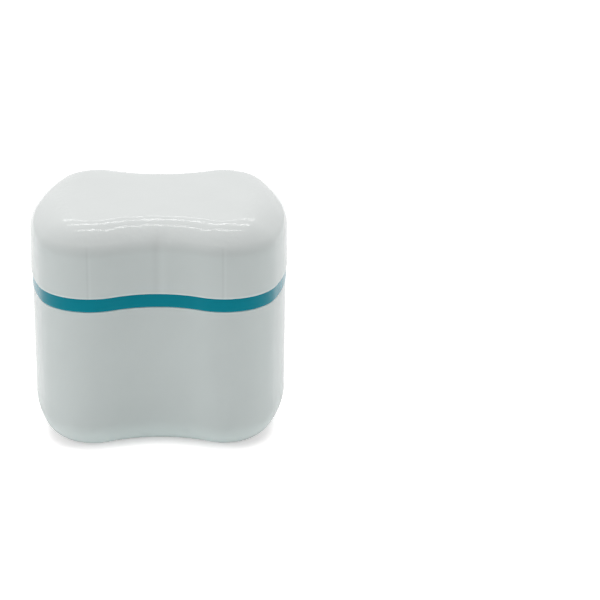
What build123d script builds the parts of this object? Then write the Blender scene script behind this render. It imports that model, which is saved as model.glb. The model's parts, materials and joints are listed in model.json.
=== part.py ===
from build123d import *
import os
from math import radians, sqrt, tan

# A three-piece denture case: a white cup, a slotted strainer basket whose rim shows as a band
# between the two white shells, and a white lid that sits on the basket's ledge around its lip.
# Millimetres. +X is the width, +Y points to the back, +Z is up. The origin is on the surface that
# the case stands on, under its middle.

# ---- Plan outline, taken at the rim band -------------------------------------------------------
RIM_WIDTH = 90.0          # across the two gently curved ends
RIM_DEPTH = 82.0          # front to back, over the four lobes
WAIST_DIP = 5.2           # how far the middle of the front and of the back pulls in
LOBE_RADIUS = 18.5        # the four rounded corners
END_RADIUS = 89.0         # the gentle curve of the two ends

# ---- Base: the outer cup -----------------------------------------------------------------------
BASE_HEIGHT = 52.4        # to the edge that carries the basket
BASE_SETBACK = 0.15       # its wall stands this far inside the rim band
BASE_WALL = 1.5
BASE_FLOOR = 1.7
BASE_DRAFT = 0.25         # degrees
BASE_CORNER = 10.8        # outer radius between wall and underside
BASE_EDGE = 0.35          # bevel of the top edge
FOOT_WIDTH = 4.0          # flat ring that the case stands on
FOOT_HEIGHT = 0.6         # depth of the recess inside that ring
GATE_RADIUS = 2.5         # moulding mark in the middle of the underside
GATE_DEPTH = 0.3

# ---- Basket: the strainer ----------------------------------------------------------------------
BAND_HEIGHT = 4.8         # the visible band
BAND_EDGE = 0.4           # bevel of its two outer edges
BASKET_GAP = 0.3          # between the basket's well and the base's wall
BASKET_WALL = 1.5
BASKET_FLOOR = 1.6
BASKET_LIFT = 2.0         # space for liquid between the two floors
BASKET_DRAFT = 0.7        # degrees
BASKET_CORNER = 7.0       # inner radius between wall and floor
LIP_WALL = 1.7
LIP_HEIGHT = 2.2          # above the ledge
LIP_EDGE = 0.4            # bevel of the lip's outer top edge

# ---- Slots in the basket -----------------------------------------------------------------------
SLOT_COUNT = 8            # in each of the two rows
SLOT_PITCH = 7.5
SLOT_WIDTH = 3.4
SLOT_FLOOR_RUN = 15.2     # from the waisted wall in over the floor, in the middle of a row
SLOT_CLIMB = 18.5         # above the floor, up the wall
SLOT_ROW_RADIUS = 66.0    # the inner ends of a row lie on this gentle curve

# ---- Lid ---------------------------------------------------------------------------------------
LID_HEIGHT = 23.8         # above the ledge
LID_OVERHANG = 0.4        # its lower edge stands this far proud of the rim band
LID_WALL = 1.85
LID_TOP = 2.0
LID_DRAFT = 0.75          # degrees
LID_BEVEL = 6.9           # the crown's corner is a bevel of this size ...
LID_SIDE_ROUND = 6.5      # ... rounded where it meets the wall ...
LID_TOP_ROUND = 16.4      # ... and more softly where it meets the top
LID_EDGE = 0.4            # bevel of the lower outer edge
LIP_GAP = 0.2             # between the lid's mouth and the basket's lip

# ---- Heights -----------------------------------------------------------------------------------
LEDGE_Z = BASE_HEIGHT + BAND_HEIGHT
LIP_Z = LEDGE_Z + LIP_HEIGHT
LID_Z = LEDGE_Z + LID_HEIGHT
BASE_FLOOR_Z = FOOT_HEIGHT + BASE_FLOOR
BASKET_UNDER_Z = BASE_FLOOR_Z + BASKET_LIFT
BASKET_FLOOR_Z = BASKET_UNDER_Z + BASKET_FLOOR

# ---- Insets from the rim band's outline --------------------------------------------------------
BASE_INNER = BASE_SETBACK + BASE_WALL
WELL_OUTER = BASE_INNER + BASKET_GAP
WELL_INNER = WELL_OUTER + BASKET_WALL
LIP_OUTER = WELL_INNER - LIP_WALL
MOUTH = LIP_OUTER - LIP_GAP
FOOT_OUTER = BASE_SETBACK + BASE_HEIGHT * tan(radians(BASE_DRAFT)) + BASE_CORNER

# ---- Centres and radii of the outline's arcs ---------------------------------------------------
LOBE_Y = RIM_DEPTH / 2 - LOBE_RADIUS
WAIST_Y = RIM_DEPTH / 2 - WAIST_DIP
END_X = RIM_WIDTH / 2 - END_RADIUS
LOBE_X = END_X + sqrt((END_RADIUS - LOBE_RADIUS) ** 2 - LOBE_Y ** 2)
WAIST_RADIUS = (LOBE_X ** 2 + (WAIST_Y - LOBE_Y) ** 2 - LOBE_RADIUS ** 2) / (2 * WAIST_DIP)

CUT_MARGIN = 1.0          # how far a cutter runs past the face it opens
LEVEL = 0.001             # an edge whose ends differ by less in height is level
UP = (0, 0, 1)
DOWN = (0, 0, -1)


def outline(inset, z=0.0):
    """The waisted outline as a face at height z, moved inwards by inset."""
    lobe = Vector(LOBE_X, LOBE_Y)
    to_waist = (Vector(0, WAIST_Y + WAIST_RADIUS) - lobe).normalized()
    to_end = (lobe - Vector(END_X, 0)).normalized()
    radius = LOBE_RADIUS - inset
    waist_joint = lobe + to_waist * radius
    end_joint = lobe + to_end * radius
    lobe_tip = lobe + (to_waist + to_end).normalized() * radius
    waist = Vector(0, WAIST_Y - inset)
    end = Vector(RIM_WIDTH / 2 - inset, 0)

    def arc(start, middle, finish):
        """One arc from three points, each given as (point, side of X, side of Y)."""
        points = [Vector(p.X * side, p.Y * face) for p, side, face in (start, middle, finish)]
        return ThreePointArc(*points)

    arcs = []
    for face in (-1, 1):
        arcs.append(arc((waist_joint, -1, face), (waist, 1, face), (waist_joint, 1, face)))
        for side in (-1, 1):
            arcs.append(arc((waist_joint, side, face), (lobe_tip, side, face),
                            (end_joint, side, face)))
    for side in (-1, 1):
        arcs.append(arc((end_joint, side, -1), (end, side, 1), (end_joint, side, 1)))
    return Pos(0, 0, z) * make_face(Wire(arcs))


def level_edges(solid):
    """The level edges of a solid in groups, the lowest first."""
    flat = [e for e in solid.edges() if abs((e @ 0).Z - (e @ 1).Z) < LEVEL]
    return ShapeList(flat).group_by(Axis.Z)


def upright(inset, low, high):
    """A straight-walled block of the outline between two heights."""
    return extrude(outline(inset, low), high - low)


def well(inset, high, low, draft, corner):
    """A block of the outline that narrows downwards, with a rounded edge round its foot."""
    block = extrude(outline(inset, high), high - low, dir=DOWN, taper=draft)
    return fillet(level_edges(block)[0], corner)


def crown(inset, low, high, depth=0.0):
    """A block of the outline that narrows upwards to the lid's soft crown.

    depth is how far the block's skin lies inside the lid's outer skin, so that a hollow with the
    wall's depth leaves an even wall round the corner."""
    block = extrude(outline(inset, low), high - low, dir=UP, taper=LID_DRAFT)
    block = chamfer(level_edges(block)[-1], LID_BEVEL - depth * (2 - sqrt(2)))
    block = fillet(level_edges(block)[-2], LID_SIDE_ROUND - depth)
    return fillet(level_edges(block)[-1], LID_TOP_ROUND - depth)


def make_base():
    outer = well(BASE_SETBACK, BASE_HEIGHT, 0, BASE_DRAFT, BASE_CORNER)
    outer = chamfer(level_edges(outer)[-1], BASE_EDGE)
    hollow = well(BASE_INNER, BASE_HEIGHT, BASE_FLOOR_Z, BASE_DRAFT, BASE_CORNER - BASE_WALL)
    recess = upright(FOOT_OUTER + FOOT_WIDTH, 0, FOOT_HEIGHT)
    gate = Pos(0, 0, FOOT_HEIGHT) * extrude(Circle(GATE_RADIUS), GATE_DEPTH)
    return outer - hollow - recess - gate


def slot_cutter(x):
    """One slot of the back row: over the floor, round the corner and up the wall."""
    half = SLOT_WIDTH / 2
    bow = x ** 2 / (2 * SLOT_ROW_RADIUS)
    start = WAIST_Y - WELL_INNER - SLOT_FLOOR_RUN + bow + half
    low = BASKET_UNDER_Z - CUT_MARGIN
    climb = BASKET_FLOOR_Z + SLOT_CLIMB - half - low
    section = Rectangle(SLOT_WIDTH, climb, align=(Align.CENTER, Align.MIN))
    section += Pos(0, climb) * Circle(half)
    across = Plane(origin=(x, start, low), x_dir=(-1, 0, 0), z_dir=(0, 1, 0))
    run = extrude(across * section, RIM_DEPTH / 2)
    inner_end = Pos(x, start, low) * extrude(Circle(half), BASKET_FLOOR + 2 * CUT_MARGIN)
    return run + inner_end


def make_basket():
    band = upright(0, BASE_HEIGHT, LEDGE_Z)
    band = chamfer(level_edges(band)[0] + level_edges(band)[-1], BAND_EDGE)
    lip = upright(LIP_OUTER, BASE_HEIGHT, LIP_Z)
    lip = chamfer(level_edges(lip)[-1], LIP_EDGE)
    cup = well(WELL_OUTER, BASE_HEIGHT, BASKET_UNDER_Z, BASKET_DRAFT,
               BASKET_CORNER + BASKET_WALL)
    hollow = well(WELL_INNER, LIP_Z, BASKET_FLOOR_Z, BASKET_DRAFT, BASKET_CORNER)
    basket = band + lip + cup - hollow
    middle = (SLOT_COUNT - 1) / 2
    for index in range(SLOT_COUNT):
        cutter = slot_cutter((index - middle) * SLOT_PITCH)
        basket = basket - cutter - mirror(cutter, about=Plane.XZ)
    return basket


def make_lid():
    outer = crown(-LID_OVERHANG, LEDGE_Z, LID_Z)
    outer = chamfer(level_edges(outer)[0], LID_EDGE)
    hollow = crown(LID_WALL - LID_OVERHANG, LEDGE_Z, LID_Z - LID_TOP, LID_WALL)
    mouth = upright(MOUTH, LEDGE_Z, LIP_Z + LIP_GAP)
    return outer - hollow - mouth


os.makedirs("parts", exist_ok=True)
for name, solid in (("base", make_base()), ("basket", make_basket()), ("lid", make_lid())):
    solid.label = name
    export_step(solid, "parts/" + name + ".step")
    box = solid.bounding_box()
    print(name, "solids", len(solid.solids()), "volume", round(solid.volume, 1), "box", box.size)
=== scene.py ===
"""A denture case, closed and standing: a white cup, a slotted teal basket whose rim shows as a band
between the shells, and a white lid. The file is laid out as an add-on and is run as a script.

Metres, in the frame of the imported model. +X is the width, +Y the back, +Z up."""
import json
from math import atan2, ceil, cos, pi, radians, sin, sqrt, tan

import bmesh
import bpy
from mathutils import Matrix, Vector


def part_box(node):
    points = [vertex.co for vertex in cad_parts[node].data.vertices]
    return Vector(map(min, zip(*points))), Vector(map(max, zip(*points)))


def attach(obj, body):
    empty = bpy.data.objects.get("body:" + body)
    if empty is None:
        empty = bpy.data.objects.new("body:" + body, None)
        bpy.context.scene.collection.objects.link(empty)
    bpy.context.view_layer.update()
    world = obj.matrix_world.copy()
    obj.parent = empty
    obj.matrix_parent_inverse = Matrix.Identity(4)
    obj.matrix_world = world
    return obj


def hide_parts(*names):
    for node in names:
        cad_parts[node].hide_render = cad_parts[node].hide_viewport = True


bl_info = {
    "name": "Denture Case",
    "version": (1, 0, 0),
    "blender": (4, 5, 0),
    "location": "3D View > Sidebar > Denture Case",
    "description": "Builds a closed denture case with its strainer basket, and a pale stage for it",
    "category": "Add Mesh",
}

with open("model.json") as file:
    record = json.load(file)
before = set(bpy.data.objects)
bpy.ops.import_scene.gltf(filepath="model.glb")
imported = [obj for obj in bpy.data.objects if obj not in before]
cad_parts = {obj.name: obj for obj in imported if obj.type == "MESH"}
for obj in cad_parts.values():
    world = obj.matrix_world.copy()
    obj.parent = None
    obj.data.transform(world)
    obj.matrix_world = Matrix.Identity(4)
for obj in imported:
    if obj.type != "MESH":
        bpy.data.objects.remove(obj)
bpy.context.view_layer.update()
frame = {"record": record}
BASE_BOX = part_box("base")
BASKET_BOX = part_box("basket")
LID_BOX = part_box("lid")

MM = 0.001
WHITE = (1.0, 1.0, 1.0)
FINISHES = {entry["slot"]: entry for entry in frame["record"]["materials"]}

# ---- Fineness of the meshes --------------------------------------------------------------------
FINE_STEP = radians(7.5)      # turn of one facet on a small round
SOFT_STEP = radians(3.0)      # and on a large one
SMALL_ROUND = 1.0 * MM        # rounds below this radius are small
GUARD = 0.3 * MM              # a ring this far beyond a round keeps the flat beside it flat
CLOSING_RINGS = (0.0, 0.3, 0.65)    # a flat end is closed by rings opened this far
ARC_STEPS = 240               # facets of one arc of the outline
GATE_STEPS = 48               # facets round the moulding mark
SLOT_STEPS = 12               # facets in a quarter turn of a slot's rounds
SHARP = radians(40)           # an edge that turns by more than this stays crisp
WELD = 1e-6

# ---- Small sizes that the sidebar leaves out ---------------------------------------------------
HOLLOW_ROUND = 0.15 * MM      # the basket's two inward corners
CUP_ROUND = 0.2 * MM          # the cup's inner rim, and the corner of its recess
FOOT_ROUND = 0.25 * MM        # the inner edge of the foot ring
MOUTH_ROUND = 0.25 * MM       # the lid's inner edge
LIP_ROUND = 0.35 * MM         # the basket's inner edge
CUT_MARGIN = 1.0 * MM         # how far a cutter runs past the face it opens
BASKET_FLAT = 1.0 * MM        # from a round to where a flat face's closing rings start
RECESS_FLAT = 1.5 * MM
CROWN_FLAT = 17.0 * MM        # the same for the lid's top, from the outline


# ---- Settings ----------------------------------------------------------------------------------
def length(name, description, default):
    """A size in metres that the sidebar shows."""
    return bpy.props.FloatProperty(name=name, description=description, default=default,
                                   precision=4, unit="LENGTH", subtype="DISTANCE")


def angle(name, description, degrees):
    """An angle that the sidebar shows."""
    return bpy.props.FloatProperty(name=name, description=description, default=radians(degrees),
                                   unit="ROTATION", subtype="ANGLE")


def colour(name, description, default):
    """A linear colour that the sidebar shows."""
    return bpy.props.FloatVectorProperty(name=name, description=description, default=default,
                                         size=3, min=0.0, max=1.0, subtype="COLOR")


def number(name, description, default):
    """A plain number that the sidebar shows."""
    return bpy.props.FloatProperty(name=name, description=description, default=default)


def count(name, description, default):
    """A whole number that the sidebar shows."""
    return bpy.props.IntProperty(name=name, description=description, default=default, min=1)


class OutlineSizes(bpy.types.PropertyGroup):
    """The waisted outline that all three pieces follow, taken at the rim band."""

    rim_width: length("Rim width", "Across the two gently curved ends",
                      BASKET_BOX[1].x - BASKET_BOX[0].x)
    rim_depth: length("Rim depth", "Front to back, over the four lobes",
                      BASKET_BOX[1].y - BASKET_BOX[0].y)
    waist_dip: length("Waist dip", "How far the middle of the front pulls in", 5.2 * MM)
    lobe_radius: length("Lobe radius", "Radius of the four rounded corners", 18.5 * MM)
    end_radius: length("End radius", "Radius of the gentle curve of the two ends", 89 * MM)
    quarter_steps: count("Steps in a quarter", "Columns of faces in a quarter of the outline", 88)


class BaseSizes(bpy.types.PropertyGroup):
    """The outer cup."""

    height: length("Height", "From the table to the edge that carries the basket",
                   BASE_BOX[1].z - BASE_BOX[0].z)
    setback: length("Setback", "How far the wall stands inside the rim band", 0.15 * MM)
    wall: length("Wall", "Thickness of the wall", 1.5 * MM)
    floor: length("Floor", "Thickness of the floor", 1.7 * MM)
    draft: angle("Draft", "Slope of the wall", 0.25)
    corner: length("Corner", "Outer radius between wall and underside", 10.8 * MM)
    edge: length("Edge", "Round of the top edge", 0.35 * MM)
    foot_width: length("Foot width", "Width of the ring that the case stands on", 4 * MM)
    foot_height: length("Foot height", "Depth of the recess inside that ring", 0.6 * MM)
    gate_radius: length("Gate radius", "Radius of the moulding mark underneath", 2.5 * MM)
    gate_depth: length("Gate depth", "Depth of the moulding mark", 0.3 * MM)


class BasketSizes(bpy.types.PropertyGroup):
    """The strainer basket."""

    band_height: length("Band height", "Height of the visible band", 4.8 * MM)
    band_edge: length("Band edge", "Round of the band's edges", 0.4 * MM)
    gap: length("Gap", "Between the basket's well and the cup's wall", 0.3 * MM)
    wall: length("Wall", "Thickness of the well's wall", 1.5 * MM)
    floor: length("Floor", "Thickness of the well's floor", 1.6 * MM)
    lift: length("Lift", "Space for liquid between the two floors", 2 * MM)
    draft: angle("Draft", "Slope of the well's wall", 0.7)
    corner: length("Corner", "Inner radius between wall and floor", 7 * MM)
    lip_wall: length("Lip wall", "Thickness of the lip", 1.7 * MM)
    lip_height: length("Lip height", "Height of the lip above the ledge", 2.2 * MM)
    lip_edge: length("Lip edge", "Round of the lip's edges", 0.4 * MM)


class SlotSizes(bpy.types.PropertyGroup):
    """The two rows of slots in the basket."""

    number: count("Slots in a row", "Slots in each of the two rows", 8)
    pitch: length("Pitch", "From one slot to the next", 7.5 * MM)
    width: length("Width", "Width of a slot", 3.4 * MM)
    floor_run: length("Floor run", "From the waisted wall in over the floor", 15.2 * MM)
    climb: length("Climb", "How far a slot climbs the wall above the floor", 18.5 * MM)
    row_radius: length("Row radius", "The inner ends of a row lie on this curve", 66 * MM)


class LidSizes(bpy.types.PropertyGroup):
    """The lid."""

    height: length("Height", "Above the ledge", LID_BOX[1].z - LID_BOX[0].z)
    overhang: length("Overhang", "How far the lower edge stands proud of the band", 0.4 * MM)
    wall: length("Wall", "Thickness of the wall", 1.85 * MM)
    top: length("Top", "Thickness of the top", 2 * MM)
    draft: angle("Draft", "Slope of the wall", 0.75)
    bevel: length("Bevel", "Size of the slope at the crown's corner", 6.9 * MM)
    side_round: length("Side round", "Round between the wall and that slope", 6.5 * MM)
    top_round: length("Top round", "Round between that slope and the top", 16.4 * MM)
    edge: length("Edge", "Round of the lower outer edge", 0.4 * MM)
    mould_line: length("Mould line", "From the middle to the fine line that the mould leaves on "
                       "each half of a wall", 22.8 * MM)


class Finish(bpy.types.PropertyGroup):
    """Colours and surfaces of the two plastics."""

    shell: colour("Shell", "Colour of the white shells", FINISHES["white_shell"]["base_color"])
    basket: colour("Basket", "Colour of the basket", FINISHES["teal_basket"]["base_color"])
    shell_roughness: number("Shell roughness", "Roughness of the white plastic", 0.1)
    shell_specular: number("Shell specular", "Specular level of the white plastic", 0.2)
    basket_roughness: number("Basket roughness", "Roughness of the teal plastic", 0.16)
    basket_specular: number("Basket specular", "Specular level of the teal plastic", 1.0)
    basket_sheen: colour("Basket sheen", "Colour of the teal plastic's reflections, face on",
                         (0.0, 0.32, 0.58))
    ripple: number("Ripple", "Strength of the slow waviness that moulded walls have", 1.0)


class StageSettings(bpy.types.PropertyGroup):
    """The floor, the lamps and the camera."""

    floor: colour("Floor", "Colour of the floor", (0.92, 0.92, 0.92))
    paper: colour("Paper", "Colour of the floor to the camera", (1.0, 0.93, 0.935))
    glow: number("Glow", "Strength of the floor's own light, as on a light table", 0.29)
    glow_tone: colour("Glow tone", "Colour of that light", (0.82, 1.0, 0.99))
    lift: number("Lift", "How much whiter the camera sees the floor", 0.5)
    fade: length("Fade", "Width of the strip along the outline where it turns white", 14 * MM)
    mirror: number("Mirror", "How much whiter reflections see the floor by the case", 0.25)
    sky: number("Sky", "Strength of the even light from all round", 0.02)
    overhead: number("Overhead", "Strength of the broad lamp above", 2.31)
    left: number("Left", "Strength of the panel on the left", 1.08)
    right: number("Right", "Strength of the panel on the right", 0.7)
    tubes: number("Tubes", "Strength of the long lamps that gleam on the crown", 1.15)
    lens: bpy.props.FloatProperty(name="Lens", description="Focal length on a 36 mm sensor",
                                  default=130.6, unit="CAMERA")


class CaseSettings(bpy.types.PropertyGroup):
    """Everything that the sidebar shows."""

    outline: bpy.props.PointerProperty(type=OutlineSizes)
    base: bpy.props.PointerProperty(type=BaseSizes)
    basket: bpy.props.PointerProperty(type=BasketSizes)
    slots: bpy.props.PointerProperty(type=SlotSizes)
    lid: bpy.props.PointerProperty(type=LidSizes)
    finish: bpy.props.PointerProperty(type=Finish)
    stage: bpy.props.PointerProperty(type=StageSettings)


# ---- Laying out node trees ---------------------------------------------------------------------
NODE_ROWS, NODE_WIDTH, NODE_HEIGHT = 6, 220, 240


class Value:
    """A number in a node tree. Plain arithmetic with it adds Math nodes."""

    def __init__(self, plan, socket):
        self.plan = plan
        self.socket = socket

    def __add__(self, other):
        return self.plan.math("ADD", self, other)

    def __sub__(self, other):
        return self.plan.math("SUBTRACT", self, other)

    def __rsub__(self, other):
        return self.plan.math("SUBTRACT", other, self)

    def __mul__(self, other):
        return self.plan.math("MULTIPLY", self, other)

    def __truediv__(self, other):
        return self.plan.math("DIVIDE", self, other)

    def __neg__(self):
        return self.plan.math("MULTIPLY", self, -1)

    __radd__ = __add__
    __rmul__ = __mul__


class Plan:
    """Lays out one node tree, a node at a time."""

    def __init__(self, tree):
        self.tree = tree

    def add(self, kind, inputs=None, **settings):
        """A new node. inputs are by socket name or number; settings are the node's own."""
        node = self.tree.nodes.new(kind)
        column, row = divmod(len(self.tree.nodes) - 1, NODE_ROWS)
        node.location = (column * NODE_WIDTH, -row * NODE_HEIGHT)
        for name, setting in settings.items():
            setattr(node, name, setting)
        for name, value in (inputs or {}).items():
            self.feed(node.inputs[name], value)
        return node

    def feed(self, socket, value):
        """Joins a socket to another one, or gives it a constant."""
        value = value.socket if isinstance(value, Value) else value
        if isinstance(value, bpy.types.NodeSocket):
            self.tree.links.new(value, socket)
        else:
            socket.default_value = value

    def math(self, operation, *values):
        """The result of a Math node."""
        node = self.add("ShaderNodeMath", dict(enumerate(values)), operation=operation)
        return Value(self, node.outputs[0])

    def ramp(self, value, low, high, start, end, way="LINEAR"):
        """Goes from start to end while value goes from low to high."""
        node = self.add("ShaderNodeMapRange", {"Value": value, "From Min": low, "From Max": high,
                                               "To Min": start, "To Max": end},
                        interpolation_type=way)
        return Value(self, node.outputs["Result"])

    def vector(self, x, y, z):
        """A vector put together from three numbers."""
        return self.add("ShaderNodeCombineXYZ", {"X": x, "Y": y, "Z": z}).outputs[0]

    def split(self, vector):
        """The three numbers of a vector."""
        node = self.add("ShaderNodeSeparateXYZ", {0: vector})
        return [Value(self, node.outputs[axis]) for axis in range(3)]


class ShapePlan(Plan):
    """Lays out a Geometry Nodes tree with named inputs."""

    def __init__(self, name):
        super().__init__(bpy.data.node_groups.new(name, "GeometryNodeTree"))
        self.source = self.tree.nodes.new("NodeGroupInput")
        self.result = self.tree.nodes.new("NodeGroupOutput")

    def takes(self, name, kind):
        """A named input of the tree. kind is Float, Int, Geometry, Object or Material."""
        self.tree.interface.new_socket(name, in_out="INPUT", socket_type="NodeSocket" + kind)
        socket = self.source.outputs[name]
        return Value(self, socket) if kind in ("Float", "Int") else socket

    def gives(self, geometry):
        """Ends the tree in a shape."""
        self.tree.interface.new_socket("Geometry", in_out="OUTPUT",
                                       socket_type="NodeSocketGeometry")
        self.feed(self.result.inputs["Geometry"], geometry)
        return self.tree

    def finishes(self, geometry, material):
        """Ends the tree with Realize Instances and Set Material."""
        real = self.add("GeometryNodeRealizeInstances", {"Geometry": geometry})
        painted = self.add("GeometryNodeSetMaterial",
                           {"Geometry": real.outputs[0], "Material": material})
        return self.gives(painted.outputs[0])

    def join(self, *geometry):
        """Several shapes as one."""
        node = self.add("GeometryNodeJoinGeometry")
        for shape in reversed(geometry):
            self.tree.links.new(shape, node.inputs[0])
        return node.outputs[0]

    def shaded(self, geometry, sharp):
        """Smooth faces, with the edges that turn by more than sharp kept crisp."""
        smooth = self.add("GeometryNodeSetShadeSmooth",
                          {"Geometry": geometry, "Shade Smooth": True}, domain="FACE")
        turn = self.add("GeometryNodeInputMeshEdgeAngle")
        crisp = self.math("GREATER_THAN", turn.outputs["Unsigned Angle"], sharp)
        return self.add("GeometryNodeSetShadeSmooth",
                        {"Geometry": smooth.outputs[0], "Selection": crisp,
                         "Shade Smooth": False}, domain="EDGE").outputs[0]


def outline_tree():
    """A quarter of the waisted outline as three arcs, from the back's waist to the right end."""
    plan = ShapePlan("Waisted outline")
    rim_width = plan.takes("Rim width", "Float")
    rim_depth = plan.takes("Rim depth", "Float")
    waist_dip = plan.takes("Waist dip", "Float")
    lobe_radius = plan.takes("Lobe radius", "Float")
    end_radius = plan.takes("End radius", "Float")
    lobe_y = rim_depth / 2 - lobe_radius
    waist_y = rim_depth / 2 - waist_dip
    end_x = rim_width / 2 - end_radius
    end_reach = end_radius - lobe_radius
    lobe_x = end_x + plan.math("SQRT", end_reach * end_reach - lobe_y * lobe_y)
    rise = waist_y - lobe_y
    waist_radius = (lobe_x * lobe_x + rise * rise - lobe_radius * lobe_radius) / (2 * waist_dip)
    waist_turn = plan.math("ARCTAN2", lobe_x, rise + waist_radius)
    end_turn = plan.math("ARCTAN2", lobe_y, lobe_x - end_x)

    def arc(x, y, radius, start, sweep):
        """One arc about a centre."""
        turned = plan.add("GeometryNodeCurveArc",
                          {"Resolution": ARC_STEPS, "Radius": radius, "Start Angle": start,
                           "Sweep Angle": sweep}, mode="RADIUS")
        moved = plan.add("GeometryNodeTransform",
                         {"Geometry": turned.outputs["Curve"],
                          "Translation": plan.vector(x, y, 0.0)})
        return moved.outputs[0]

    waist = arc(0.0, waist_y + waist_radius, waist_radius, -pi / 2, waist_turn)
    lobe = arc(lobe_x, lobe_y, lobe_radius, waist_turn + pi / 2, end_turn - waist_turn - pi / 2)
    end = arc(end_x, 0.0, end_radius, end_turn, -end_turn)
    return plan.gives(plan.join(waist, lobe, end))


def shell_tree():
    """Sweeps a section round the waisted outline.

    The object's own points are the section: x is the inset from the outline, z the height, and y
    how far the ring at that point is opened, from 0 at the middle to 1. Its columns run round the
    outline and its rows along the section."""
    plan = ShapePlan("Waisted shell")
    section = plan.takes("Geometry", "Geometry")
    sizes = {name: plan.takes(name, "Float") for name in
             ("Rim width", "Rim depth", "Waist dip", "Lobe radius", "End radius")}
    quarter = plan.takes("Steps in a quarter", "Int")
    sharp = plan.takes("Sharp angle", "Float")
    material = plan.takes("Material", "Material")

    outline = plan.add("GeometryNodeGroup", node_tree=outline_tree())
    for name, value in sizes.items():
        plan.feed(outline.inputs[name], value)
    ends = plan.add("GeometryNodeAttributeDomainSize", {"Geometry": section}, component="MESH")
    rows = Value(plan, ends.outputs["Point Count"])
    grid = plan.add("GeometryNodeMeshGrid",
                    {"Size X": 1.0, "Size Y": 1.0, "Vertices X": quarter * 4 + 1,
                     "Vertices Y": rows})

    index = Value(plan, plan.add("GeometryNodeInputIndex").outputs[0])
    column = plan.math("FLOOR", (index + 0.5) / rows)
    row = index - column * rows
    lap = plan.math("FLOORED_MODULO", column, quarter * 4)
    side = plan.math("FLOOR", (lap + 0.5) / quarter)
    along = lap / quarter - side
    odd = plan.math("FLOORED_MODULO", side, 2.0)
    factor = along + odd * (1 - along * 2)
    side_x = 1 - 2 * plan.math("GREATER_THAN", side, 1.5)
    side_y = 1 - 2 * plan.math("GREATER_THAN", plan.math("FLOORED_MODULO", side, 3.0), 0.5)

    sample = plan.add("GeometryNodeSampleCurve",
                      {"Curves": outline.outputs[0], "Factor": factor},
                      mode="FACTOR", use_all_curves=True)
    place_x, place_y, _ = plan.split(sample.outputs["Position"])
    way_x, way_y, _ = plan.split(sample.outputs["Tangent"])
    point = plan.add("GeometryNodeSampleIndex",
                     {"Geometry": section, "Index": row,
                      "Value": plan.add("GeometryNodeInputPosition").outputs[0]},
                     data_type="FLOAT_VECTOR", domain="POINT")
    inset, opened, height = plan.split(point.outputs["Value"])
    x = (place_x + way_y * inset) * opened * side_x
    y = (place_y - way_x * inset) * opened * side_y
    swept = plan.add("GeometryNodeSetPosition",
                     {"Geometry": grid.outputs["Mesh"], "Position": plan.vector(x, y, height)})
    closed = plan.add("GeometryNodeMergeByDistance",
                      {"Geometry": swept.outputs[0], "Distance": WELD})
    return plan.finishes(plan.shaded(closed.outputs[0], sharp), material)


def slot_tree():
    """Cuts two mirrored rows of slots. The inner ends of a row lie on a gentle curve."""
    plan = ShapePlan("Strainer slots")
    basket = plan.takes("Geometry", "Geometry")
    cutter = plan.takes("Cutter", "Object")
    number_in_row = plan.takes("Slots in a row", "Int")
    pitch = plan.takes("Pitch", "Float")
    inner_end = plan.takes("Inner end", "Float")
    row_radius = plan.takes("Row radius", "Float")
    sharp = plan.takes("Sharp angle", "Float")
    material = plan.takes("Material", "Material")

    line = plan.add("GeometryNodeMeshLine",
                    {"Count": number_in_row,
                     "Start Location": plan.vector((1 - number_in_row) * pitch / 2, 0.0, 0.0),
                     "Offset": plan.vector(pitch, 0.0, 0.0)}, mode="OFFSET")
    x, _, _ = plan.split(plan.add("GeometryNodeInputPosition").outputs[0])
    bowed = plan.add("GeometryNodeSetPosition",
                     {"Geometry": line.outputs["Mesh"],
                      "Offset": plan.vector(0.0, inner_end + x * x / (row_radius * 2), 0.0)})
    tool = plan.add("GeometryNodeObjectInfo", {"Object": cutter})
    row = plan.add("GeometryNodeInstanceOnPoints",
                   {"Points": bowed.outputs[0], "Instance": tool.outputs["Geometry"]})
    facing = plan.add("GeometryNodeTransform",
                      {"Geometry": row.outputs[0], "Rotation": (0.0, 0.0, pi)})
    rows = plan.add("GeometryNodeRealizeInstances",
                    {"Geometry": plan.join(row.outputs[0], facing.outputs[0])})
    cut = plan.add("GeometryNodeMeshBoolean", operation="DIFFERENCE", solver="EXACT")
    plan.feed(cut.inputs["Mesh 1"], basket)
    plan.feed(cut.inputs["Mesh 2"], rows.outputs[0])
    return plan.finishes(plan.shaded(cut.outputs[0], sharp), material)


def gate_tree():
    """Sinks the round moulding mark into the underside."""
    plan = ShapePlan("Moulding mark")
    base = plan.takes("Geometry", "Geometry")
    radius = plan.takes("Radius", "Float")
    low = plan.takes("Low", "Float")
    high = plan.takes("High", "Float")
    sharp = plan.takes("Sharp angle", "Float")
    material = plan.takes("Material", "Material")
    disc = plan.add("GeometryNodeMeshCylinder",
                    {"Vertices": GATE_STEPS, "Radius": radius, "Depth": high - low})
    placed = plan.add("GeometryNodeTransform",
                      {"Geometry": disc.outputs["Mesh"],
                       "Translation": plan.vector(0.0, 0.0, (high + low) / 2)})
    cut = plan.add("GeometryNodeMeshBoolean", operation="DIFFERENCE", solver="EXACT")
    plan.feed(cut.inputs["Mesh 1"], base)
    plan.feed(cut.inputs["Mesh 2"], placed.outputs[0])
    return plan.finishes(plan.shaded(cut.outputs[0], sharp), material)


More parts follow.
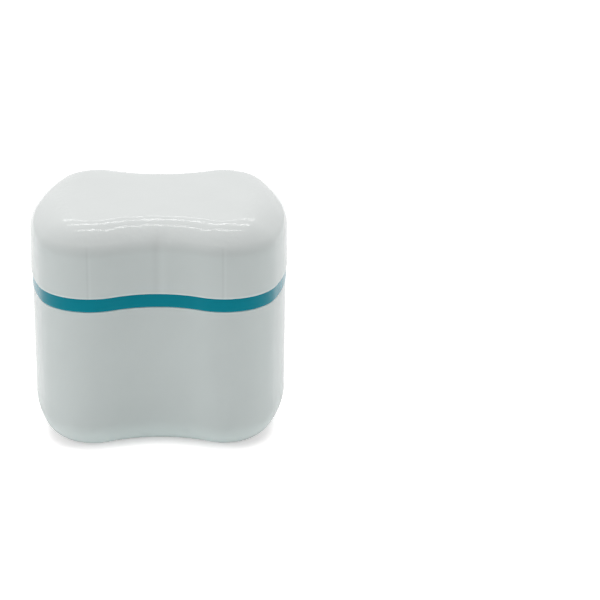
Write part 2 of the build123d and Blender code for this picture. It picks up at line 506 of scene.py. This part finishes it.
# ---- Sections ----------------------------------------------------------------------------------
def rounded(corners):
    """Points of a section from its corners, each (inset, height, radius of its round)."""
    points = [Vector(corners[0][:2])]
    for before, corner, after in zip(corners, corners[1:], corners[2:]):
        tip = Vector(corner[:2])
        back = (Vector(before[:2]) - tip).normalized()
        ahead = (Vector(after[:2]) - tip).normalized()
        radius = corner[2]
        turn = pi - back.angle(ahead)
        if not radius:
            points.append(tip)
            continue
        reach = radius * tan(turn / 2)
        centre = tip + (back + ahead).normalized() * radius / cos(turn / 2)
        first, last = tip + back * reach, tip + ahead * reach
        step = FINE_STEP if radius < SMALL_ROUND else SOFT_STEP
        steps = ceil(turn / step)
        if (first - points[-1]).length > 2 * GUARD:
            points.append(first + back * GUARD)
        begin = atan2(first.y - centre.y, first.x - centre.x)
        way = 1 if (first - centre).cross(last - centre) > 0 else -1
        for index in range(steps + 1):
            at = begin + way * turn * index / steps
            points.append(centre + Vector((cos(at), sin(at))) * radius)
        if (Vector(after[:2]) - last).length > 2 * GUARD:
            points.append(last + ahead * GUARD)
    points.append(Vector(corners[-1][:2]))
    return points


def section_mesh(name, corners):
    """The section as a chain of points, with the rings that close its two flat ends."""
    points = rounded(corners)
    first, last = points[0], points[-1]
    rings = [(first.x, opened, first.y) for opened in CLOSING_RINGS]
    rings += [(point.x, 1.0, point.y) for point in points]
    rings += [(last.x, opened, last.y) for opened in reversed(CLOSING_RINGS)]
    mesh = bpy.data.meshes.new(name)
    mesh.from_pydata(rings, [(at, at + 1) for at in range(len(rings) - 1)], [])
    return mesh


def crown_corners(lid, inset, low, high, depth):
    """The lid's skin from the top down: where the top turns, the bevel, and the foot."""
    slope = tan(lid.draft)
    bevel = lid.bevel - depth * (2 - sqrt(2))
    turn = high - bevel * cos(lid.draft)
    return [(inset + (high - low) * slope + bevel, high, lid.top_round - depth),
            (inset + (turn - low) * slope, turn, lid.side_round - depth),
            (inset, low, lid.edge)]


# ---- Materials ---------------------------------------------------------------------------------
TINT_SCALE, TINT_SPREAD = 45.0, 0.015       # noise, and how far it shifts the tint
GLOSS_SCALE, GLOSS_SPREAD = 180.0, 0.15     # ... and the roughness
WAVE_SCALE, WAVE_HEIGHT = 320.0, 27e-6      # slow waviness
SKIN_SCALE, SKIN_HEIGHT = 1500.0, 0.5e-6    # fine skin
NOISE_LOW, NOISE_HIGH = 0.3, 0.7            # the part of a noise's range that is used

# Where the waviness dies down: two sizes of a part of the normal, and the share left at each.
FLAT_CALM = (0.995, 0.9995, 1.0, 0.11)      # on a level face, by the upward part
WALL_CALM = (0.15, 0.4, 0.2, 1.0)           # on a wall, by the upward part
SIDE_CALM = (0.12, 0.3, 1.0, 0.15)          # on the case's sides, by the sideways part

# Painted shade and highlights on the shells, scaled into the white's colour: middle and reach in
# millimetres, and how much lighter they are.
PAINTED_MOULD_LINE = ((0.45, 0.5, 0.035), (-0.5, 0.5, -0.05))       # painted shade and highlight across a mould line, for the light on its small step
PAINTED_WAIST_LIGHT = ((2.0, 2.0, 0.03), (-0.5, 1.6, -0.035))       # painted shade and highlight down the middle of the lid's wall
# Painted shade: a dark spot where the middle of the lid's wall meets the crown.
PAINTED_SHADE_ACROSS = (0.0, 4.0, -0.06)           # the dark spot where that middle meets the crown,
PAINTED_SHADE_UP = (18.5, 4.0, 1.0)                # across it and up from the ledge
LID_EDGE_HIGHLIGHT = ((0.1, 0.8, 0.16),)        # painted highlight up from the lid's lower edge
CUP_EDGE_HIGHLIGHT = ((0.0, 0.8, 0.26),)        # painted highlight up from the cup's edge, lightening the shade under the band
WALL_END = (16 * MM, 19 * MM)               # the lines fade out between these, above the ledge
LID_START = -0.1 * MM                       # what lies above this, from the ledge, is lid

# The floor. Distances are counted outwards from the case's outline.
FLOOR_CLOUD, FLOOR_SPREAD = 3.0, 0.01       # noise, and how far it shifts the colour
WAIST_SHARE = 0.3                           # half the waist's length, as a share of the width
GLOW_FADE = (-9 * MM, -2 * MM)              # the glow sets in between these
MIRROR_FADE = (75 * MM, 455 * MM)           # reflections see the floor turn whiter between these
MIRROR_RISE = 0.5                           # and by this much


def cleared(owner):
    """A plan for the node tree of a material or a world, which starts empty."""
    owner.use_nodes = True
    owner.node_tree.nodes.clear()
    return Plan(owner.node_tree)


def mottled(plan, factor, first, second):
    """A colour that wanders between two."""
    mix = plan.add("ShaderNodeMix", data_type="RGBA")
    plan.feed(mix.inputs["Factor"], factor)
    plan.feed(mix.inputs[6], (*first, 1.0))
    plan.feed(mix.inputs[7], (*second, 1.0))
    return mix.outputs[2]


def plastic(name, colour, roughness, specular, ripple, painted_light=None, sheen=WHITE):
    """A glossy moulded plastic: slow ripple, a fine skin, and slight changes of tint and gloss.

    Walls and level faces are calmer than crowns. The function given after the ripple paints shade
    and highlights into the colour: it lays out how light each spot is next to the plain colour.
    sheen is the colour of what it reflects face on."""
    material = bpy.data.materials.new(name)
    material.diffuse_color = (*colour, 1.0)
    plan = cleared(material)
    place = plan.add("ShaderNodeTexCoord").outputs["Object"]

    def noise(scale, detail=2.0):
        return plan.add("ShaderNodeTexNoise",
                        {"Vector": place, "Scale": scale, "Detail": detail}).outputs["Fac"]

    def ranged(value, low, high):
        return plan.ramp(value, NOISE_LOW, NOISE_HIGH, low, high)

    paint = mottled(plan, ranged(noise(TINT_SCALE), 0.0, 1.0),
                    [part * (1 - TINT_SPREAD) for part in colour],
                    [min(part * (1 + TINT_SPREAD), 1.0) for part in colour])
    gloss = ranged(noise(GLOSS_SCALE, 4.0), roughness * (1 - GLOSS_SPREAD),
                   roughness * (1 + GLOSS_SPREAD))
    sideways, _, upwards = [plan.math("ABSOLUTE", part) for part in
                            plan.split(plan.add("ShaderNodeNewGeometry").outputs["Normal"])]
    calm = (plan.ramp(upwards, *FLAT_CALM) * plan.ramp(upwards, *WALL_CALM)
            * plan.ramp(sideways, *SIDE_CALM))
    waves = ranged(noise(WAVE_SCALE, 1.0), -1.0, 1.0) * calm * (ripple * WAVE_HEIGHT)
    skin = ranged(noise(SKIN_SCALE), -1.0, 1.0) * SKIN_HEIGHT
    bump = plan.add("ShaderNodeBump", {"Strength": 1.0, "Distance": 1.0, "Height": waves + skin})
    # Painted shade and highlights scale the base colour.
    if painted_light:
        paint = plan.add("ShaderNodeVectorMath", {0: paint, "Scale": painted_light(plan, place)},
                         operation="SCALE").outputs[0]
    shader = plan.add("ShaderNodeBsdfPrincipled",
                      {"Base Color": paint, "Roughness": gloss, "IOR": 1.49,
                       "Specular IOR Level": specular, "Specular Tint": (*sheen, 1.0),
                       "Normal": bump.outputs["Normal"]})
    result = plan.add("ShaderNodeOutputMaterial")
    plan.feed(result.inputs["Surface"], shader.outputs["BSDF"])
    return material


def floor_material(stage, outline):
    """A plain pale floor with a soft glow of its own, as a light table has.

    The camera sees it turn white a little way out from the case, with the case's own shadow left
    on it. Reflections, and what is seen through a clear part, show it about white."""
    material = bpy.data.materials.new("floor")
    material.cycles.emission_sampling = "NONE"
    plan = cleared(material)
    place = plan.add("ShaderNodeTexCoord").outputs["Object"]
    cloud = plan.add("ShaderNodeTexNoise", {"Vector": place, "Scale": FLOOR_CLOUD})
    tint = mottled(plan, cloud.outputs["Fac"],
                   [part * (1 - FLOOR_SPREAD) for part in stage.floor], stage.floor)
    matt = plan.add("ShaderNodeBsdfDiffuse", {"Color": tint}).outputs[0]
    paper = plan.add("ShaderNodeBsdfDiffuse", {"Color": (*stage.paper, 1.0)}).outputs[0]

    def light(strength, tone=WHITE):
        return plan.add("ShaderNodeEmission", {"Color": (*tone, 1.0),
                                               "Strength": strength}).outputs[0]

    def both(first, second):
        return plan.add("ShaderNodeAddShader", {0: first, 1: second}).outputs[0]

    def either(chosen, no, yes):
        return plan.add("ShaderNodeMixShader", {0: chosen, 1: no, 2: yes}).outputs[0]

    across, along = [plan.math("ABSOLUTE", part) for part in plan.split(place)[:2]]
    dip = plan.ramp(across, 0.0, WAIST_SHARE * outline.rim_width, outline.waist_dip, 0.0,
                    "SMOOTHSTEP")
    past_x = across - (outline.rim_width / 2 - outline.lobe_radius)
    past_y = along + dip - (outline.rim_depth / 2 - outline.lobe_radius)
    out_x, out_y = [plan.math("MAXIMUM", past, 0.0) for past in (past_x, past_y)]
    beyond = (plan.math("SQRT", out_x * out_x + out_y * out_y) - outline.lobe_radius
              + plan.math("MINIMUM", plan.math("MAXIMUM", past_x, past_y), 0.0))
    whiter = plan.ramp(beyond, -stage.fade / 2, stage.fade / 2, stage.lift, 1.0)
    gleam = plan.ramp(beyond, *MIRROR_FADE, stage.mirror, stage.mirror + MIRROR_RISE)
    around = plan.ramp(beyond, *GLOW_FADE, 0.0, stage.glow)
    rays = plan.add("ShaderNodeLightPath").outputs
    mirrored = plan.math("MAXIMUM", rays["Is Glossy Ray"], rays["Is Transmission Ray"])
    unseen = both(matt, either(mirrored, light(around, stage.glow_tone), light(gleam)))
    shown = either(rays["Is Camera Ray"], unseen, both(paper, light(whiter)))
    result = plan.add("ShaderNodeOutputMaterial")
    plan.feed(result.inputs["Surface"], shown)
    return material


def shell_material(settings):
    """The white plastic of the base and the lid, made once, with painted shade and highlights
    scaled into its colour.
    """
    finish = settings.finish
    seam = settings.base.height + settings.basket.band_height

    # Scales the colour by painted shade and highlights; 1 is the plain colour.
    def painted_light(plan, place):
        def peak(value, centre, reach, height):
            away = plan.math("ABSOLUTE", value - centre * MM) / (reach * MM)
            return plan.math("MAXIMUM", 1 - away, 0.0) * height

        def drawn(value, peaks):
            return sum(peak(value, *one) for one in peaks)

        x, _, z = plan.split(place)
        across = x - plan.math("SIGN", x) * settings.lid.mould_line
        above = z - seam
        on_wall = (plan.ramp(above, *WALL_END, 1.0, 0.0)
                   * plan.math("GREATER_THAN", above, LID_START))
        # Painted shade and highlights across the mould lines and down the middle of the lid's
        # walls.
        walls = (drawn(across, PAINTED_MOULD_LINE) + drawn(x, PAINTED_WAIST_LIGHT)) * on_wall
        # Painted shade: a dark spot where the middle of the lid's wall meets the crown.
        painted_dark_spot = peak(x, *PAINTED_SHADE_ACROSS) * peak(above, *PAINTED_SHADE_UP)
        # Painted highlights along the lid's lower edge and the cup's top edge.
        edges = drawn(above, LID_EDGE_HIGHLIGHT) + drawn(z - settings.base.height, CUP_EDGE_HIGHLIGHT)
        return 1 + walls + painted_dark_spot + edges

    found = bpy.data.materials.get("moulded_white")
    return found or plastic("moulded_white", finish.shell, finish.shell_roughness,
                            finish.shell_specular, finish.ripple, painted_light)


def basket_material(settings):
    """The teal plastic of the basket."""
    finish = settings.finish
    return plastic("moulded_teal", finish.basket, finish.basket_roughness,
                   finish.basket_specular, finish.ripple, sheen=finish.basket_sheen)


# ---- Making pieces -----------------------------------------------------------------------------
def shape(piece, tree, inputs):
    """Gives a piece a Geometry Nodes modifier, with its inputs set by socket identifier."""
    modifier = piece.modifiers.new(tree.name, "NODES")
    modifier.node_group = tree
    sockets = {item.name: item.identifier for item in tree.interface.items_tree
               if item.item_type == "SOCKET" and item.in_out == "INPUT"}
    for name, value in inputs.items():
        modifier[sockets[name]] = value


def sweep(piece, outline, material):
    """Sweeps a piece's section round the outline."""
    shape(piece, shell_tree(), {
        "Rim width": outline.rim_width, "Rim depth": outline.rim_depth,
        "Waist dip": outline.waist_dip, "Lobe radius": outline.lobe_radius,
        "End radius": outline.end_radius, "Steps in a quarter": outline.quarter_steps,
        "Sharp angle": SHARP, "Material": material})


def settle(piece, node, material):
    """Turns a piece's modifiers into a plain mesh, which then stands for its CAD node."""
    solid = piece.evaluated_get(bpy.context.evaluated_depsgraph_get())
    mesh = bpy.data.meshes.new_from_object(solid)
    mesh.name = piece.name
    mesh.materials.clear()
    mesh.materials.append(material)
    mesh.polygons.foreach_set("material_index", [0] * len(mesh.polygons))
    piece.modifiers.clear()
    section = piece.data
    piece.data = mesh
    bpy.data.meshes.remove(section)
    if not mesh.polygons:
        raise RuntimeError(piece.name + " has no faces")
    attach(piece, node)
    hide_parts(node)


def new_object(name, data):
    """An object at the origin, in the scene."""
    made = bpy.data.objects.new(name, data)
    bpy.context.scene.collection.objects.link(made)
    return made


def slot_cutter_mesh(radius, reach, low, high):
    """One slot's cutter: round at its inner end in plan and round at its top in elevation."""
    turns = [pi / 2 * step / SLOT_STEPS for step in range(SLOT_STEPS + 1)]
    rows = [(-radius * cos(turn), radius * sin(turn)) for turn in turns] + [(reach, radius)]
    columns = [(low, radius)]
    columns += [(high - radius + radius * sin(turn), radius * cos(turn)) for turn in turns]
    shell = bmesh.new()
    halves = []
    for side in (-1, 1):
        halves.append([[shell.verts.new((side * min(half_y, half_z), y, z))
                        for z, half_z in columns] for y, half_y in rows])
    for half in halves:
        for row in range(len(rows) - 1):
            for column in range(len(columns) - 1):
                shell.faces.new([half[row][column], half[row + 1][column],
                                 half[row + 1][column + 1], half[row][column + 1]])
    left, right = halves
    for row in range(len(rows) - 1):
        shell.faces.new([left[row][0], left[row + 1][0], right[row + 1][0], right[row][0]])
    for column in range(len(columns) - 1):
        shell.faces.new([left[-1][column], left[-1][column + 1],
                         right[-1][column + 1], right[-1][column]])
    bmesh.ops.remove_doubles(shell, verts=shell.verts, dist=WELD)
    bmesh.ops.dissolve_degenerate(shell, edges=shell.edges, dist=WELD)
    bmesh.ops.recalc_face_normals(shell, faces=shell.faces)
    mesh = bpy.data.meshes.new("slot_cutter")
    shell.to_mesh(mesh)
    shell.free()
    return mesh


# ---- The stage ---------------------------------------------------------------------------------
FLOOR_HALF = 4.0
AIM = Vector((0.0, 0.0, 45 * MM))
CAMERA_PLACE = (0.02094, -0.72958, 0.31784)
CAMERA_TURN = (2.283, 20.741, 0.710)        # azimuth, elevation and roll in degrees
SENSOR = 36.0
# Each lamp's name, place, size, watts at strength 1, setting, and whether reflections show it.
LAMPS = (
    ("overhead", (0.0, 0.1, 1.5), (1.5, 1.5), 7.0, "overhead", False),
    ("left", (-1.17, -0.42, 0.45), (0.8, 1.2), 3.0, "left", False),
    ("right", (1.3, -0.2, 0.45), (0.8, 1.2), 3.0, "right", False),
    ("low_tube", (0.0, 1.25, 0.74), (0.9, 0.05), 0.4, "tubes", True),
    ("far_tube", (0.0, 0.85, 0.93), (0.9, 0.06), 1.1, "tubes", True),
    ("near_tube", (0.0, 0.42, 1.15), (0.9, 0.06), 1.5, "tubes", True),
)


def lamp(name, place, size, watts):
    """A soft panel of light that points from its place to the case."""
    data = bpy.data.lights.new(name, "AREA")
    data.shape = "RECTANGLE"
    data.size, data.size_y = size
    data.energy = watts
    made = new_object(name, data)
    made.location = place
    made.rotation_euler = (AIM - Vector(place)).to_track_quat("-Z", "Y").to_euler()
    return made


# ---- Operators ---------------------------------------------------------------------------------
class CASE_OT_base(bpy.types.Operator):
    """Make the outer cup"""

    bl_idname = "denture_case.base"
    bl_label = "Base"
    bl_options = {"REGISTER", "UNDO"}

    def execute(self, context):
        settings = context.scene.denture_case
        base = settings.base
        slope = tan(base.draft)
        inner = base.setback + base.wall
        foot = base.setback + base.height * slope + base.corner
        floor = base.foot_height + base.floor
        corners = [
            (inner + (base.height - floor) * slope + base.corner, floor, 0),
            (inner + (base.height - floor) * slope, floor, base.corner - base.wall),
            (inner, base.height, CUP_ROUND),
            (base.setback, base.height, base.edge),
            (base.setback + base.height * slope, 0.0, base.corner),
            (foot + base.foot_width, 0.0, FOOT_ROUND),
            (foot + base.foot_width, base.foot_height, CUP_ROUND),
            (foot + base.foot_width + RECESS_FLAT, base.foot_height, 0),
        ]
        piece = new_object("base_cup", section_mesh("base_section", corners))
        material = shell_material(settings)
        sweep(piece, settings.outline, material)
        shape(piece, gate_tree(), {
            "Radius": base.gate_radius, "Low": base.foot_height - CUT_MARGIN,
            "High": base.foot_height + base.gate_depth, "Sharp angle": SHARP,
            "Material": material})
        settle(piece, "base", material)
        return {"FINISHED"}


class CASE_OT_basket(bpy.types.Operator):
    """Make the strainer basket with its band, lip and slots"""

    bl_idname = "denture_case.basket"
    bl_label = "Basket"
    bl_options = {"REGISTER", "UNDO"}

    def execute(self, context):
        settings = context.scene.denture_case
        base, basket, slots = settings.base, settings.basket, settings.slots
        slope = tan(basket.draft)
        ledge = base.height + basket.band_height
        top = ledge + basket.lip_height
        under = base.foot_height + base.floor + basket.lift
        floor = under + basket.floor
        outer = base.setback + base.wall + basket.gap
        inner = outer + basket.wall
        lip = inner - basket.lip_wall
        narrowed = (base.height - under) * slope
        corners = [
            (inner + (top - floor) * slope + basket.corner + BASKET_FLAT, floor, 0),
            (inner + (top - floor) * slope, floor, basket.corner),
            (inner, top, LIP_ROUND),
            (lip, top, basket.lip_edge),
            (lip, ledge, HOLLOW_ROUND),
            (0.0, ledge, basket.band_edge),
            (0.0, base.height, basket.band_edge),
            (outer, base.height, HOLLOW_ROUND),
            (outer + narrowed, under, basket.corner + basket.wall),
            (outer + narrowed + basket.corner + basket.wall + BASKET_FLAT, under, 0),
        ]
        piece = new_object("basket_strainer", section_mesh("basket_section", corners))
        material = basket_material(settings)
        sweep(piece, settings.outline, material)

        half = slots.width / 2
        waist = settings.outline.rim_depth / 2 - settings.outline.waist_dip
        cutter_mesh = slot_cutter_mesh(half, settings.outline.rim_depth / 2,
                                       under - CUT_MARGIN, floor + slots.climb)
        cutter = new_object("slot_cutter", cutter_mesh)
        cutter.hide_render = True
        shape(piece, slot_tree(), {
            "Cutter": cutter, "Slots in a row": slots.number, "Pitch": slots.pitch,
            "Inner end": waist - inner - slots.floor_run + half,
            "Row radius": slots.row_radius, "Sharp angle": SHARP, "Material": material})
        settle(piece, "basket", material)
        bpy.data.objects.remove(cutter)
        bpy.data.meshes.remove(cutter_mesh)
        return {"FINISHED"}


class CASE_OT_lid(bpy.types.Operator):
    """Make the lid with its soft crown"""

    bl_idname = "denture_case.lid"
    bl_label = "Lid"
    bl_options = {"REGISTER", "UNDO"}

    def execute(self, context):
        settings = context.scene.denture_case
        lid = settings.lid
        low = settings.base.height + settings.basket.band_height
        high = low + lid.height
        outer = crown_corners(lid, -lid.overhang, low, high, 0.0)
        inner = crown_corners(lid, lid.wall - lid.overhang, low, high - lid.top, lid.wall)
        inner[-1] = (*inner[-1][:2], MOUTH_ROUND)
        corners = [(CROWN_FLAT, high, 0), *outer, *reversed(inner),
                   (CROWN_FLAT, high - lid.top, 0)]
        piece = new_object("lid_cover", section_mesh("lid_section", corners))
        material = shell_material(settings)
        sweep(piece, settings.outline, material)
        settle(piece, "lid", material)
        return {"FINISHED"}


class CASE_OT_stage(bpy.types.Operator):
    """Make the floor, the lamps and the camera"""

    bl_idname = "denture_case.stage"
    bl_label = "Stage"
    bl_options = {"REGISTER", "UNDO"}

    def execute(self, context):
        stage = context.scene.denture_case.stage
        mesh = bpy.data.meshes.new("floor")
        corners = ((-1, -1), (1, -1), (1, 1), (-1, 1))
        mesh.from_pydata([(x * FLOOR_HALF, y * FLOOR_HALF, 0) for x, y in corners],
                         [], [(0, 1, 2, 3)])
        mesh.materials.append(floor_material(stage, context.scene.denture_case.outline))
        new_object("floor", mesh)

        world = bpy.data.worlds.new("studio")
        plan = cleared(world)
        rays = plan.add("ShaderNodeLightPath")
        seen = plan.math("MAXIMUM", rays.outputs["Is Camera Ray"], rays.outputs["Is Glossy Ray"])
        seen = plan.math("MAXIMUM", seen, rays.outputs["Is Transmission Ray"])
        sky = plan.add("ShaderNodeBackground", {"Color": (*WHITE, 1.0), "Strength": stage.sky})
        white = plan.add("ShaderNodeBackground", {"Color": (*WHITE, 1.0), "Strength": 1.0})
        shown = plan.add("ShaderNodeMixShader", {0: seen})
        plan.feed(shown.inputs[1], sky.outputs[0])
        plan.feed(shown.inputs[2], white.outputs[0])
        result = plan.add("ShaderNodeOutputWorld")
        plan.feed(result.inputs["Surface"], shown.outputs[0])
        context.scene.world = world

        for name, place, size, watts, setting, mirrored in LAMPS:
            panel = lamp(name, place, size, watts * getattr(stage, setting))
            panel.visible_glossy = mirrored

        data = bpy.data.cameras.new("camera")
        data.lens = stage.lens
        data.sensor_width = SENSOR
        camera = new_object("camera", data)
        azimuth, elevation, roll = [radians(degrees) for degrees in CAMERA_TURN]
        turn = (Matrix.Rotation(-azimuth, 3, "Z") @ Matrix.Rotation(pi / 2 - elevation, 3, "X")
                @ Matrix.Rotation(roll, 3, "Z"))
        camera.matrix_world = Matrix.Translation(CAMERA_PLACE) @ turn.to_4x4()
        context.scene.camera = camera
        context.scene.view_settings.view_transform = "Standard"
        return {"FINISHED"}


class CASE_PT_sidebar(bpy.types.Panel):
    """The sizes, the finishes and the buttons that make each piece"""

    bl_idname = "CASE_PT_sidebar"
    bl_label = "Denture Case"
    bl_space_type = "VIEW_3D"
    bl_region_type = "UI"
    bl_category = "Denture Case"

    def draw(self, context):
        settings = context.scene.denture_case
        layout = self.layout
        parts = (("Outline", settings.outline, None), ("Base", settings.base, CASE_OT_base),
                 ("Basket", settings.basket, CASE_OT_basket), ("Slots", settings.slots, None),
                 ("Lid", settings.lid, CASE_OT_lid), ("Finish", settings.finish, None),
                 ("Stage", settings.stage, CASE_OT_stage))
        for title, group, maker in parts:
            box = layout.box()
            box.label(text=title)
            for name in group.__annotations__:
                box.prop(group, name)
            if maker:
                box.operator(maker.bl_idname)


CLASSES = (OutlineSizes, BaseSizes, BasketSizes, SlotSizes, LidSizes, Finish, StageSettings,
           CaseSettings, CASE_OT_base, CASE_OT_basket, CASE_OT_lid, CASE_OT_stage,
           CASE_PT_sidebar)


def register():
    """Makes the settings, the operators and the panel known to Blender."""
    for made in CLASSES:
        bpy.utils.register_class(made)
    bpy.types.Scene.denture_case = bpy.props.PointerProperty(type=CaseSettings)


def unregister():
    """Takes them out again."""
    del bpy.types.Scene.denture_case
    for made in reversed(CLASSES):
        bpy.utils.unregister_class(made)


def main():
    """Builds the case and its stage."""
    register()
    bpy.ops.denture_case.base()
    bpy.ops.denture_case.basket()
    bpy.ops.denture_case.lid()
    bpy.ops.denture_case.stage()


if __name__ == "__main__":
    main()
